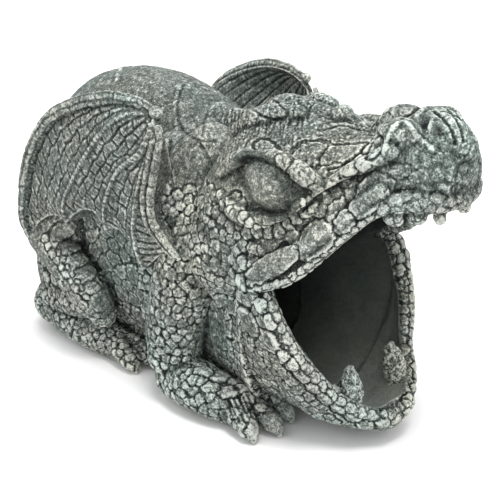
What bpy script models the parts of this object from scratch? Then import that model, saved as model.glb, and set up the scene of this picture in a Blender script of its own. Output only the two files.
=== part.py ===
"""A cast dragon gargoyle for the foot of a downspout: the water comes in at the flat back and runs out of the mouth.

The dragon faces -Y, crouches on the ground at Z = 0 and is symmetric about X = 0. Lengths are in metres.
The pose, the proportions and the carving are shares of the length from nose to heel. The water passage
and the walls around it have sizes of their own.
"""

import bmesh
import bpy
from math import cos, pi, sin, tau
from mathutils import Matrix, Vector

# Driving dimensions
LENGTH = 0.450                # from nose to heel
SHARE = LENGTH / 450          # every free form is drawn in 450ths of the length
BOTH_SIDES = (-1, 1)

# The water passage: a pocket in the back for the end of a downspout, then a narrower throat to the mouth
DOWNSPOUT_WIDTH = 0.1016
DOWNSPOUT_HEIGHT = 0.0762
DOWNSPOUT_CLEARANCE = 0.003   # on each side of the downspout
POCKET_DEPTH = 0.060
SEAT_STEP = 0.008             # width of the flat ledge that the downspout's end butts against
FLOOR_WALL = 0.014            # stone left under the pocket
COLLAR_WALL = 0.012           # least stone left beside and over the pocket
PASSAGE_CORNER = 0.010
BACK = 236 * SHARE            # the flat rear face
THROAT_END = 10 * SHARE       # where the throat opens into the hollow of the mouth
POCKET_HALF_WIDTH = DOWNSPOUT_WIDTH / 2 + DOWNSPOUT_CLEARANCE
POCKET_TOP = FLOOR_WALL + DOWNSPOUT_HEIGHT + 2 * DOWNSPOUT_CLEARANCE

# Surface quality
VOXEL = 0.0031                # grain of the clay when its forms are worked into one skin
SKIN_TRIANGLES = 9000         # triangles kept on the skin before the mouth and the passage are cut
RING_SIDES = 24
ROUTE_STEPS = 5               # rings between two drawn stations of a form


def at(across, along, up):
    """A point of the figure, drawn in shares of its length."""
    return Vector((across, along, up)) * SHARE


def blended(a, b, c, d, t):
    """The Catmull-Rom value between b and c."""
    return 0.5 * (2 * b + (c - a) * t + (2 * a - 5 * b + 4 * c - d) * t * t + (3 * b - a - 3 * c + d) * t ** 3)


def smooth_route(stations, steps=ROUTE_STEPS):
    """Rows of numbers that run smoothly through the drawn rows."""
    last = len(stations) - 1
    route = []
    for i in range(last):
        four = [stations[max(0, min(last, i + k))] for k in (-1, 0, 1, 2)]
        for step in range(steps):
            route.append([blended(*values, step / steps) for values in zip(*four)])
    route.append(list(stations[last]))
    return route


def ring(form, points):
    """A closed loop of edges through the points, started from a circle."""
    made = bmesh.ops.create_circle(form, segments=len(points), radius=SHARE)["verts"]
    for vert, point in zip(made, points):
        vert.co = point
    return list({edge for vert in made for edge in vert.link_edges})


def press_into(clay, form):
    """Adds a finished form to the clay."""
    kept = bpy.data.meshes.new("form")
    form.to_mesh(kept)
    form.free()
    clay.from_mesh(kept)
    bpy.data.meshes.remove(kept)


def skin_rings(clay, rings):
    """Bridges each ring to the next, fills both ends and adds the form to the clay."""
    form = bmesh.new()
    loops = [ring(form, points) for points in rings]
    for one, other in zip(loops, loops[1:]):
        bmesh.ops.bridge_loops(form, edges=one + other)
    for end in (loops[0], loops[-1]):
        bmesh.ops.edgeloop_fill(form, edges=end)
    press_into(clay, form)


def rounded_power(value, power):
    """The value with its sign kept and its size raised to the power."""
    return abs(value) ** power * (1 if value >= 0 else -1)


def hull_ring(along, wide_at, half_width, rise, drop, crown=2.2, keel=2.6):
    """An upright section across the figure: widest at one height, with its own rise above and drop below."""
    points = []
    for side in range(RING_SIDES):
        turn = tau * side / RING_SIDES
        upper = sin(turn) >= 0
        power = 2 / (crown if upper else keel)
        across = half_width * rounded_power(cos(turn), power)
        up = wide_at + (rise if upper else drop) * rounded_power(sin(turn), power)
        points.append(at(across, along, up))
    return points


def hull(clay, stations):
    """A body lofted through upright sections, each (along, widest height, half width, rise, drop)."""
    skin_rings(clay, [hull_ring(*row) for row in smooth_route(stations)])


def limb(clay, side, stations, sides=14):
    """A round limb through stations (across, along, up, radius), tapering to its last radius."""
    rows = smooth_route(stations)
    centres = [at(side * x, y, z) for x, y, z, _ in rows]
    heading = (centres[1] - centres[0]).normalized()
    turn = heading.to_track_quat("Z", "Y")
    rings = []
    for i, centre in enumerate(centres):
        ahead = (centres[min(i + 1, len(centres) - 1)] - centres[max(i - 1, 0)]).normalized()
        turn = heading.rotation_difference(ahead) @ turn
        heading = ahead
        radius = max(rows[i][3], 0.5) * SHARE
        spokes = [Vector((cos(tau * k / sides), sin(tau * k / sides), 0)) * radius for k in range(sides)]
        rings.append([centre + turn @ spoke for spoke in spokes])
    skin_rings(clay, rings)
    for i in (0, -1):
        ball(clay, 1, centres[i] / SHARE, (rows[i][3],) * 3)


def ball(clay, side, centre, radii, tilt=0.0):
    """An ellipsoid; tilt turns it about the across axis, in degrees."""
    place = Matrix.Translation(at(side * centre[0], centre[1], centre[2]))
    turn = Matrix.Rotation(tilt * pi / 180, 4, "X")
    size = Matrix.Diagonal((*[max(r, 0.5) * SHARE for r in radii], 1))
    bmesh.ops.create_icosphere(clay, subdivisions=3, radius=1, matrix=place @ turn @ size)


# The body and the head

def trunk(clay):
    """The crouching body and the neck, from the rump to the base of the skull."""
    hull(clay, [
        (240, 104, 64, 78, 110, 2.2, 5),
        (222, 112, 75, 108, 122, 2.2, 5),
        (190, 120, 80, 131, 128, 2.2, 4),
        (150, 124, 82, 138, 130, 2.3, 2.6),
        (105, 124, 79, 140, 130, 2.2, 2.2),
        (65, 124, 76, 131, 130, 2.2, 2.2),
        (30, 122, 72, 116, 130, 2.5, 2.3),
        (0, 120, 71, 110, 124, 2.5),
        (-30, 120, 70, 106, 116),
    ])


def skull(clay):
    """The head down to the upper lip, from the nape to the snout."""
    hull(clay, [
        (-4, 160, 72, 66, 66, 1.9),
        (-22, 162, 84, 86, 78, 1.9),
        (-45, 164, 92, 98, 78, 1.8),
        (-80, 168, 90, 94, 44, 1.8, 4),
        (-105, 176, 81, 82, 24, 1.8, 4),
        (-125, 188, 71, 68, 20, 1.8, 4),
        (-150, 212, 59, 48, 16, 2, 4),
        (-176, 232, 43, 38, 16, 2.2, 3.5),
        (-196, 238, 33, 29, 22, 2.2),
        (-209, 234, 21, 18, 20, 2.2),
    ])


def lower_jaw(clay):
    """The scoop of the lower jaw: its upper edge is the rim of the mouth, its keel rests on the ground."""
    hull(clay, [
        (-20, 100, 70, 40, 90),
        (-60, 112, 75, 30, 112, 2.2, 2.1),
        (-79, 122, 84, 16, 120, 2.2, 2),
        (-92, 130, 90, 8, 127, 2.2, 1.9),
        (-105, 108, 87, 6, 106, 2.2, 1.8),
        (-118, 85, 80, 6, 83, 2.2, 1.8),
        (-131, 56, 63, 5, 53, 2.2, 1.8),
        (-144, 41, 50, 5, 36, 2.2, 1.8),
        (-155, 33, 38, 5, 24, 2.2, 1.9),
        (-164, 27, 24, 5, 17, 2.2, 2),
        (-168, 22, 9, 4, 8, 2.2, 2),
    ])


def lips(clay, side):
    """The rolled edges of the mouth, upper and lower, which meet at the corner."""
    limb(clay, side, [
        (86, -68, 150, 6), (87, -88, 143, 6), (81, -106, 150, 6), (75, -120, 160, 6), (67, -136, 177, 6),
        (59, -152, 196, 6), (50, -170, 214, 6), (40, -186, 220, 7), (24, -200, 220, 8), (0, -206, 219, 8),
    ])
    limb(clay, side, [
        (84, -84, 140, 6), (83, -97, 129, 8), (81, -107, 112, 8), (75, -117, 90, 8), (65, -125, 72, 8),
        (53, -134, 55, 7), (42, -146, 42, 7), (29, -156, 33, 7), (15, -163, 26, 7), (0, -165, 24, 7),
    ])


def face(clay, side):
    """Brow, cheek, lip and snout forms of one side."""
    limb(clay, side, [
        (84, -70, 160, 9), (84, -90, 157, 9), (79, -108, 166, 8.5), (72, -122, 177, 8), (64, -138, 193, 8),
        (56, -154, 209, 7.5), (47, -170, 225, 7),
    ])
    limb(clay, side, [
        (66, -28, 206, 4), (71, -40, 217, 5), (73, -52, 228, 6), (74, -66, 236, 6), (74, -82, 238, 6),
        (72, -100, 240, 7), (69, -118, 233, 7), (63, -131, 224, 5),
    ])
    limb(clay, side, [
        (80, -48, 204, 4), (85, -66, 196, 6), (85, -88, 195, 6), (81, -108, 204, 6), (73, -124, 216, 5),
    ])
    limb(clay, side, [
        (62, -122, 216, 5), (56, -142, 232, 5), (48, -158, 244, 6), (40, -172, 254, 6),
    ])
    ball(clay, side, (76, -40, 152), (18, 32, 34), tilt=20)
    ball(clay, side, (58, -12, 152), (26, 40, 46))
    ball(clay, side, (78, -80, 126), (12, 15, 18))
    ball(clay, side, (24, -168, 260), (16, 18, 14), tilt=-10)
    limb(clay, side, [(40, -176, 216, 8), (40, -178, 209, 8)])
    limb(clay, side, [(30, -190, 216, 8), (30, -191, 210, 7)])
    ball(clay, side, (16, -200, 208), (5, 5, 7))
    limb(clay, side, [(34, -22, 240, 7), (30, -46, 254, 10), (20, -72, 259, 7)])


def eyes(clay, side):
    """The big plain eyeball."""
    ball(clay, side, (67, -88, 221), (19, 27, 20), tilt=18)


def eye_sockets(clay):
    """The hollows around the eyes, under the brow."""
    for side in BOTH_SIDES:
        ball(clay, side, (85, -88, 222), (18, 29, 19), tilt=18)


def crown(clay):
    """The mid line of the head, from the nape over the forehead to the nose."""
    limb(clay, 1, [
        (0, 34, 234, 14), (0, 6, 232, 14), (0, -22, 240, 15), (0, -42, 252, 15), (0, -70, 252, 14),
        (0, -98, 246, 14), (0, -130, 243, 13), (0, -150, 262, 14), (0, -168, 261, 15), (0, -186, 263, 16),
        (0, -199, 254, 15),
    ])
    ball(clay, 1, (0, -20, 245), (16, 14, 9))
    ball(clay, 1, (0, -99, 259), (10, 9, 9))
    ball(clay, 1, (0, -118, 251), (9, 8, 7))
    ball(clay, 1, (0, -198, 236), (22, 15, 26))
    for along, up in ((-178, 264), (-190, 262), (-201, 254)):
        ball(clay, 1, (0, along, up), (22, 5, 16), tilt=-25)


# The limbs

def shoulder(clay, side):
    """The breast and the side of the neck behind the cheek."""
    ball(clay, side, (62, 6, 120), (30, 32, 60))
    limb(clay, side, [(60, 18, 140, 26), (57, 20, 172, 27), (50, 16, 200, 26), (38, 4, 220, 22)])
    limb(clay, side, [(50, 44, 140, 27), (48, 48, 178, 26), (40, 44, 206, 24)])


def foreleg(clay, side):
    """Upper leg, forearm and paw."""
    limb(clay, side, [(62, -4, 150, 26), (72, 2, 118, 29), (77, 10, 78, 27), (79, 13, 44, 24)])
    limb(clay, side, [(79, 8, 24, 22), (81, -14, 24, 22), (78, -38, 21, 20), (70, -58, 17, 18)])
    for toe in ((86, -88, 78, -48), (64, -97, 68, -54), (42, -90, 57, -52)):
        claw_toe(clay, side, *toe)


def hind_leg(clay, side):
    """Haunch, knee and foot."""
    ball(clay, side, (62, 178, 68), (32, 46, 60), tilt=-12)
    ball(clay, side, (78, 168, 118), (25, 36, 28), tilt=-30)
    limb(clay, side, [
        (80, 200, 108, 17), (88, 180, 110, 20), (92, 152, 100, 20), (91, 130, 82, 20), (87, 116, 64, 18),
        (82, 110, 50, 13),
    ])
    limb(clay, side, [(82, 124, 56, 13), (80, 150, 50, 17), (74, 186, 46, 21)])
    limb(clay, side, [(68, 202, 28, 25), (73, 165, 22, 21), (73, 128, 19, 19), (70, 102, 14, 15)])
    for toe in ((80, 68, 76, 108), (62, 60, 66, 104), (45, 64, 54, 104)):
        claw_toe(clay, side, *toe)


def claw_toe(clay, side, tip_across, tip_along, root_across, root_along):
    """A knuckled toe that ends in a claw, from its root to its tip on the ground."""
    def between(share, up, radius):
        across = root_across + (tip_across - root_across) * share
        along = root_along + (tip_along - root_along) * share
        return across, along, up, radius
    limb(clay, side, [between(0, 16, 10), between(0.4, 17, 10), between(0.7, 12, 9), between(0.78, 10, 7)])
    limb(clay, side, [between(0.66, 14, 9), between(0.84, 11, 8.8), between(0.94, 7.5, 6.6), between(0.99, 4.5, 3.6)])


# The wings

WRIST = (89, 15, 257)
LEADING_EDGE = [
    WRIST, (92, 35, 263), (97, 66, 262), (103, 102, 252), (106, 136, 235), (107, 163, 207), (107, 179, 179),
    (107, 189, 149), (107, 193, 128), (106, 186, 112),
]
WING_FINGERS = [
    LEADING_EDGE,
    [WRIST, (103, 38, 254), (108, 62, 237), (109, 87, 211), (109, 108, 185), (109, 124, 160), (107, 124, 142)],
    [WRIST, (98, 14, 245), (103, 24, 226), (105, 46, 209), (105, 60, 190), (105, 70, 169), (103, 72, 148)],
    [WRIST, (97, 11, 240), (102, 24, 204), (103, 34, 168), (101, 36, 142), (98, 30, 122)],
    [WRIST, (93, 12, 250), (95, 8, 237), (97, 13, 212), (97, 19, 190), (97, 17, 170), (96, 3, 155), (93, -9, 143)],
]
WING_COLUMNS = 6              # surface strips between two fingers
WING_ROWS = 22
WING_WALL = 8                 # thickness of the free upper wing
WING_ROOT = 34                # depth to which the lower wing is bedded in the flank
SCALLOP = 12


def along_finger(finger, share):
    """The point at this share of the finger's own length."""
    route = [Vector(point) for point in smooth_route(finger, 8)]
    spans = [(b - a).length for a, b in zip(route, route[1:])]
    wanted = share * sum(spans)
    for start, end, span in zip(route, route[1:], spans):
        if wanted <= span:
            return start.lerp(end, wanted / span)
        wanted -= span
    return route[-1]


def wing_point(column, share):
    """A point of the wing's outer face: the column counts strips from the leading edge, the share runs down it."""
    last = len(WING_FINGERS) - 1
    finger = min(column // WING_COLUMNS, last - 1)
    t = column / WING_COLUMNS - finger
    trim = SCALLOP * 4 * t * (1 - t) * share ** 6
    four = [along_finger(WING_FINGERS[max(0, min(last, finger + k))], share) for k in (-1, 0, 1, 2)]
    point = blended(*four, t)
    return Vector((point.x - 2 * sin(pi * t) * share, point.y, point.z + trim))


def wing(clay, side):
    """The folded wing: a scalloped sheet hung from the wrist, its fingers and its thick leading edge."""
    strips = WING_COLUMNS * (len(WING_FINGERS) - 1)
    outer, inner = [], []
    for column in range(strips + 1):
        for row in range(1, WING_ROWS + 1):
            point = wing_point(column, row / WING_ROWS)
            sunk = WING_WALL + (WING_ROOT - WING_WALL) * max(0.0, min(1.0, (240 - point.z) / 60))
            outer.append(clay.verts.new(at(side * point.x, point.y, point.z)))
            inner.append(clay.verts.new(at(side * (point.x - sunk), point.y, point.z)))
    faces = []
    for sheet in (outer, inner):
        for column in range(strips):
            for row in range(WING_ROWS - 1):
                i = column * WING_ROWS + row
                faces.append(clay.faces.new([sheet[j] for j in (i, i + 1, i + WING_ROWS + 1, i + WING_ROWS)]))
    rims = [edge for face in faces for edge in face.edges if edge.is_boundary]
    bmesh.ops.bridge_loops(clay, edges=list(set(rims)))
    limb(clay, side, [(*point, 6.5) for point in LEADING_EDGE])
    for finger in WING_FINGERS[1:3]:
        limb(clay, side, [(x + 0.5, y, z, 3.6) for x, y, z in finger[1:]], sides=10)
    limb(clay, side, [(x, y, z, 5.5) for x, y, z in WING_FINGERS[-1]], sides=10)
    ball(clay, side, (90, 15, 258), (6, 7, 6))


# The mouth

def palate(clay):
    """The hollow under the upper jaw."""
    hull(clay, [
        (-50, 140, 60, 34, 50),
        (-80, 150, 64, 40, 44),
        (-105, 158, 61, 40, 40),
        (-122, 168, 55, 38, 40),
        (-146, 190, 48, 28, 40),
        (-166, 208, 37, 18, 34),
        (-180, 214, 27, 12, 26),
        (-188, 214, 16, 6, 20),
    ])


def bowl(clay):
    """The hollow of the lower jaw, from the throat to the rim, open above."""
    hull(clay, [
        (20, 58, 44, 30, 30),
        (-10, 62, 46, 36, 36),
        (-40, 82, 57, 52, 58),
        (-70, 110, 66, 54, 86),
        (-95, 130, 71, 34, 106, 2.2, 2.1),
        (-108, 112, 69, 44, 88, 2.2, 2),
        (-118, 92, 63, 60, 68, 2.2, 2),
        (-131, 65, 49, 80, 42, 2.2, 2),
        (-144, 50, 37, 80, 25, 2.2, 2),
        (-154, 41, 27, 80, 13, 2.2, 2),
        (-160, 37, 16, 70, 6, 2.2, 2),
    ])


def fangs(clay, side):
    """The one big lower tooth of each side, with a lump of gum behind it."""
    limb(clay, side, [(32, -142, 35, 10), (30, -141, 45, 10), (28, -139, 55, 8), (27, -137, 64, 4)], sides=10)
    ball(clay, side, (41, -136, 42), (9, 9, 8))


# Putting the pieces together

def closed_mesh(name, fill):
    """An object whose mesh holds the closed shells that fill makes, all facing out."""
    clay = bmesh.new()
    fill(clay)
    bmesh.ops.recalc_face_normals(clay, faces=clay.faces)
    mesh = bpy.data.meshes.new(name)
    clay.to_mesh(mesh)
    clay.free()
    made = bpy.data.objects.new(name, mesh)
    bpy.context.scene.collection.objects.link(made)
    return made


def cutter(name, fill):
    """A closed helper that is cut away and left out of the model."""
    made = closed_mesh(name, fill)
    made.hide_render = True
    made.display_type = "WIRE"
    return made


def combine(target, other, operation):
    """Adds or cuts the other object, exactly."""
    step = target.modifiers.new(other.name, "BOOLEAN")
    step.object = other
    step.operation = operation
    step.solver = "EXACT"


def settle(target):
    """Replaces the object's mesh with the one its modifiers make."""
    graph = bpy.context.evaluated_depsgraph_get()
    worked = bpy.data.meshes.new_from_object(target.evaluated_get(graph))
    target.modifiers.clear()
    target.data = worked


def box(low, high, corner=0.0):
    """A fill that makes a box between two corners, with rounded edges along its length."""
    def fill(clay):
        size = Vector(high) - Vector(low)
        place = Matrix.Translation((Vector(low) + Vector(high)) / 2) @ Matrix.Diagonal((*size, 1))
        made = bmesh.ops.create_cube(clay, size=1, matrix=place)["verts"]
        if corner:
            edges = {edge for vert in made for edge in vert.link_edges}
            lengthwise = [e for e in edges if abs((e.verts[0].co - e.verts[1].co).y) > size.y / 2]
            bmesh.ops.bevel(
                clay, geom=lengthwise, offset=corner, offset_type="OFFSET", affect="EDGES",
                segments=4, profile=0.5, material=-1,
            )
    return fill


def collar(clay):
    """The blocks of stone that wall the pocket and the throat where the body is thin."""
    for narrower, start in ((0, BACK - POCKET_DEPTH - COLLAR_WALL), (SEAT_STEP, THROAT_END)):
        half_width = POCKET_HALF_WIDTH - narrower + COLLAR_WALL
        top = POCKET_TOP - narrower + COLLAR_WALL
        block = box((-half_width, start, 0), (half_width, BACK, top), PASSAGE_CORNER)
        block(clay)


def whole_figure(clay):
    trunk(clay)
    collar(clay)
    skull(clay)
    lower_jaw(clay)
    crown(clay)
    for side in BOTH_SIDES:
        lips(clay, side)
        face(clay, side)
        foreleg(clay, side)
        shoulder(clay, side)
        hind_leg(clay, side)
        wing(clay, side)


def work_into_skin(figure):
    """Works overlapping forms into one even skin."""
    remesh = figure.modifiers.new("one_skin", "REMESH")
    remesh.mode = "VOXEL"
    remesh.voxel_size = VOXEL
    settle(figure)


def hollow_head(figure):
    """Cuts the hollows of the jaws and the eyes, and sets the lower teeth and the eyeballs in them."""
    hollows = [cutter("palate", palate), cutter("bowl", bowl), cutter("eye_sockets", eye_sockets)]
    for hollow in hollows:
        combine(figure, hollow, "DIFFERENCE")
    settle(figure)
    for hollow in hollows:
        bpy.data.objects.remove(hollow)
    head = bmesh.new()
    head.from_mesh(figure.data)
    for side in BOTH_SIDES:
        fangs(head, side)
        eyes(head, side)
    bmesh.ops.recalc_face_normals(head, faces=head.faces)
    head.to_mesh(figure.data)
    head.free()


def thin_out(figure):
    """Softens the grain and keeps only the triangles that the forms need."""
    soften = figure.modifiers.new("soften", "SMOOTH")
    soften.factor = 0.5
    soften.iterations = 3
    settle(figure)
    thin = figure.modifiers.new("thin", "DECIMATE")
    thin.ratio = SKIN_TRIANGLES / (2 * len(figure.data.polygons))
    settle(figure)


def cut_flat_and_through(figure):
    """Cuts the underside and the back flat, and opens the pocket and the throat to the mouth."""
    reach = 2 * LENGTH
    overrun = LENGTH
    throat_half_width = POCKET_HALF_WIDTH - SEAT_STEP
    cuts = {
        "below_ground": box((-reach, -reach, -reach), (reach, reach, 0)),
        "behind_back": box((-reach, BACK, -reach), (reach, BACK + reach, reach)),
        "pocket": box(
            (-POCKET_HALF_WIDTH, BACK - POCKET_DEPTH, FLOOR_WALL),
            (POCKET_HALF_WIDTH, BACK + overrun, POCKET_TOP),
            PASSAGE_CORNER,
        ),
        "throat": box(
            (-throat_half_width, THROAT_END, FLOOR_WALL + SEAT_STEP),
            (throat_half_width, BACK, POCKET_TOP - SEAT_STEP),
            PASSAGE_CORNER,
        ),
    }
    for name, fill in cuts.items():
        combine(figure, cutter(name, fill), "DIFFERENCE")
    settle(figure)
    for name in cuts:
        bpy.data.objects.remove(bpy.data.objects[name])


def stand_over_origin(figure):
    """Slides the figure so that the middle of its length is over the origin."""
    reach = [vert.co.y for vert in figure.data.vertices]
    figure.data.transform(Matrix.Translation((0, -(min(reach) + max(reach)) / 2, 0)))


def stone():
    """Cast stone, a weathered grey green."""
    made = bpy.data.materials.new("weathered_stone")
    made.use_nodes = True
    shader = made.node_tree.nodes["Principled BSDF"]
    shader.inputs["Base Color"].default_value = (0.115, 0.135, 0.125, 1)
    shader.inputs["Roughness"].default_value = 0.85
    shader.inputs["Metallic"].default_value = 0.0
    return made


def dragon():
    figure = closed_mesh("dragon_gargoyle", whole_figure)
    work_into_skin(figure)
    hollow_head(figure)
    work_into_skin(figure)
    thin_out(figure)
    cut_flat_and_through(figure)
    stand_over_origin(figure)
    figure.data.materials.clear()
    figure.data.materials.append(stone())
    figure.data.shade_smooth()


for old in list(bpy.data.objects):
    bpy.data.objects.remove(old)
dragon()
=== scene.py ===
"""The looks of a cast stone dragon gargoyle for the foot of a downspout.

The solid is one casting, so its skin is carved here in four bodies that overlap: the body with its legs,
the head and the two wings, with the eyes and the teeth set into the head. The figure is drawn in
millimetres, x across, y along with the nose at -Y, z up, and is moved onto the frame at the end.
Every scale of the hide is carved into the skin of the body that carries it.
"""

from math import cos, pi, radians, sin, tau

import bmesh
import bpy
import numpy as np
from mathutils import Matrix, Vector, noise
from mathutils.bvhtree import BVHTree
from mathutils.kdtree import KDTree


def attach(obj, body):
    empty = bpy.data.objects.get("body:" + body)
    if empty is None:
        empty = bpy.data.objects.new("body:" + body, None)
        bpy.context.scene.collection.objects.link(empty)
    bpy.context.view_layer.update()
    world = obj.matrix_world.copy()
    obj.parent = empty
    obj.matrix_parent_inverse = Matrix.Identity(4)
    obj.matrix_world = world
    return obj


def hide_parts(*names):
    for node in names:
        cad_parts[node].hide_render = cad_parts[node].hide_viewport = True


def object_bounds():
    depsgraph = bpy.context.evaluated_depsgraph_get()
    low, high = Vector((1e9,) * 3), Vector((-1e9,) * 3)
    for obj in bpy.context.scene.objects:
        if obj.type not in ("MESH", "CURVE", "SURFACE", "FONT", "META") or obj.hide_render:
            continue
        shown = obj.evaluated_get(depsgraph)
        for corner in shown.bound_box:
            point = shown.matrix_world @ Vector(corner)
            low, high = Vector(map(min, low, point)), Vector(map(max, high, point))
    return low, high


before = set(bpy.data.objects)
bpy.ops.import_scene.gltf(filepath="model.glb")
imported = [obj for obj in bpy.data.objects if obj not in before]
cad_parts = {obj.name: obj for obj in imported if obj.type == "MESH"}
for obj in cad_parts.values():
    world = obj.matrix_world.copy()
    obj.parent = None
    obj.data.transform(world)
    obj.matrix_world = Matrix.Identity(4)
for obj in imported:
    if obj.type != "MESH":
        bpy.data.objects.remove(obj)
cad_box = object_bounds()

SOLID = "dragon_gargoyle"
BODY = "root"
MM = 0.001                       # one drawn unit
BOTH_SIDES = (-1, 1)

# The downspout's passage, as the solid has it
BACK = 236                       # the flat rear face
POCKET_DEPTH = 60
POCKET_HALF_WIDTH = 53.8
POCKET_FLOOR = 14
POCKET_TOP = 96.2
SEAT_STEP = 8
COLLAR_WALL = 12
THROAT_END = 10
PASSAGE_CORNER = 10
TO_FRAME = cad_box[1].y - BACK * MM

# Fineness of the carved skins
BODY_GRAIN = 1.45
HEAD_GRAIN = 1.2
WING_GRAIN = 0.95
RING_SIDES = 48
EDGE_STAND = 0.22                # a fine edge this share of the grain over its surroundings is fully brushed
FORM_STAND = 0.85                # and so is a broad form this far over them
HOLLOW_DEPTHS = (-140, -105, -60, 0, 160, 230)  # painted shade: from the chin to the throat the stone inside the mouth is painted from bare to black, and back to bare in the pocket and the higher a point lies over the floor, the darker the painted shade
HOLLOW_PAINTED_SHADES = (0.74, 0.71, 0.60, 0.26, 0.30, 0.50)    # goes from bare to black, and to bare in the pocket
HOLLOW_PAINTED_SHADE_BY_HEIGHT = 0.0042            # and the higher a point lies over the floor, the darker it is
ON_HOLLOW = 0.8                  # points this near the wall of a hollow are on it
FIT = 0.995                      # the scales stand out of the drawn forms, which are that much smaller
ROUTE_STEPS = 8

# The photograph's camera, in the drawn frame
CAMERA_AZIMUTH = radians(-46.2)
CAMERA_ELEVATION = radians(22.5)
CAMERA_DISTANCE = 800
CAMERA_TARGET = Vector((0, 0, 120))
PICTURE = 500                    # pixels across the picture
FOCAL_PIXELS = 907
SENSOR = 36.0
CAMERA_BACK = Vector((
    sin(CAMERA_AZIMUTH) * cos(CAMERA_ELEVATION),
    -cos(CAMERA_AZIMUTH) * cos(CAMERA_ELEVATION),
    sin(CAMERA_ELEVATION),
))
CAMERA_RIGHT = Vector((cos(CAMERA_AZIMUTH), sin(CAMERA_AZIMUTH), 0))
CAMERA_UP = CAMERA_BACK.cross(CAMERA_RIGHT)
CAMERA_PLACE = CAMERA_TARGET + CAMERA_BACK * CAMERA_DISTANCE

chance = np.random.default_rng(7)
noise.seed_set(7)


# Smooth lines and closed forms

def blended(a, b, c, d, t):
    """The Catmull-Rom value between b and c."""
    return 0.5 * (2 * b + (c - a) * t + (2 * a - 5 * b + 4 * c - d) * t * t + (3 * b - a - 3 * c + d) * t ** 3)


def smooth_route(stations, steps=ROUTE_STEPS):
    """Rows of numbers that run smoothly through the drawn rows."""
    last = len(stations) - 1
    route = []
    for i in range(last):
        four = [stations[max(0, min(last, i + k))] for k in (-1, 0, 1, 2)]
        for step in range(steps):
            route.append([blended(*values, step / steps) for values in zip(*four)])
    route.append(list(stations[last]))
    return route


def even_route(stations, count):
    """Points spaced evenly along the smooth line through the stations, as an array."""
    route = np.array(smooth_route(stations, 24), float)
    spans = np.linalg.norm(np.diff(route[:, :3], axis=0), axis=1)
    run = np.concatenate(([0], np.cumsum(spans)))
    wanted = np.linspace(0, run[-1], count)
    return np.stack([np.interp(wanted, run, column) for column in route.T], axis=1)


def in_order(parts):
    """The parts without repeats, always in the same order, so that each run gives the same skin."""
    return list(dict.fromkeys(parts))


def ring(form, points):
    """A closed loop of edges through the points, started from a circle."""
    made = bmesh.ops.create_circle(form, segments=len(points), radius=1)["verts"]
    for vert, point in zip(made, points):
        vert.co = point
    return in_order(edge for vert in made for edge in vert.link_edges)


def press_into(clay, form):
    """Adds a finished form to the clay."""
    kept = bpy.data.meshes.new("form")
    form.to_mesh(kept)
    form.free()
    clay.from_mesh(kept)
    bpy.data.meshes.remove(kept)


def skin_rings(clay, rings):
    """Bridges each ring to the next, fills both ends and adds the form to the clay."""
    form = bmesh.new()
    loops = [ring(form, points) for points in rings]
    for one, other in zip(loops, loops[1:]):
        bmesh.ops.bridge_loops(form, edges=one + other)
    for end in (loops[0], loops[-1]):
        bmesh.ops.edgeloop_fill(form, edges=end)
    press_into(clay, form)


def rounded_power(value, power):
    """The value with its sign kept and its size raised to the power."""
    return abs(value) ** power * (1 if value >= 0 else -1)


def hull_ring(grow, along, wide_at, half_width, rise, drop, crown=2.2, keel=2.6):
    """An upright section across the figure: widest at one height, with its own rise above and drop below."""
    points = []
    for side in range(RING_SIDES):
        turn = tau * side / RING_SIDES
        upper = sin(turn) >= 0
        power = 2 / (crown if upper else keel)
        across = (half_width + grow) * rounded_power(cos(turn), power)
        up = wide_at + ((rise if upper else drop) + grow) * rounded_power(sin(turn), power)
        points.append(Vector((across, along, up)))
    return points


def hull(clay, stations, grow=0.0):
    """A body lofted through upright sections, each (along, widest height, half width, rise, drop)."""
    skin_rings(clay, [hull_ring(grow, *row) for row in smooth_route(stations)])


def limb(clay, side, stations, sides=20):
    """A round limb through stations (across, along, up, radius), tapering to its last radius."""
    rows = smooth_route(stations)
    centres = [Vector((side * x, y, z)) for x, y, z, _ in rows]
    heading = (centres[1] - centres[0]).normalized()
    turn = heading.to_track_quat("Z", "Y")
    rings = []
    for i, centre in enumerate(centres):
        ahead = (centres[min(i + 1, len(centres) - 1)] - centres[max(i - 1, 0)]).normalized()
        turn = heading.rotation_difference(ahead) @ turn
        heading = ahead
        radius = max(rows[i][3], 0.5)
        spokes = [Vector((cos(tau * k / sides), sin(tau * k / sides), 0)) * radius for k in range(sides)]
        rings.append([centre + turn @ spoke for spoke in spokes])
    skin_rings(clay, rings)
    for i in (0, -1):
        ball(clay, 1, centres[i], (rows[i][3],) * 3)


def ball(clay, side, centre, radii, tilt=0.0, subdivisions=4):
    """An ellipsoid; tilt turns it about the across axis, in degrees."""
    form = bmesh.new()
    place = Matrix.Translation(Vector((side * centre[0], centre[1], centre[2])))
    turn = Matrix.Rotation(radians(tilt), 4, "X")
    size = Matrix.Diagonal((*[max(r, 0.5) for r in radii], 1))
    bmesh.ops.create_icosphere(form, subdivisions=subdivisions, radius=1, matrix=place @ turn @ size)
    press_into(clay, form)


def box(clay, low, high, corner=0.0):
    """A box between two corners, with its edges along the figure rounded."""
    form = bmesh.new()
    size = Vector(high) - Vector(low)
    place = Matrix.Translation((Vector(low) + Vector(high)) / 2) @ Matrix.Diagonal((*size, 1))
    made = bmesh.ops.create_cube(form, size=1, matrix=place)["verts"]
    if corner:
        edges = in_order(edge for vert in made for edge in vert.link_edges)
        lengthwise = [e for e in edges if abs((e.verts[0].co - e.verts[1].co).y) > size.y / 2]
        bmesh.ops.bevel(
            form, geom=lengthwise, offset=corner, offset_type="OFFSET", affect="EDGES",
            segments=8, profile=0.5, material=-1,
        )
    press_into(clay, form)


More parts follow.
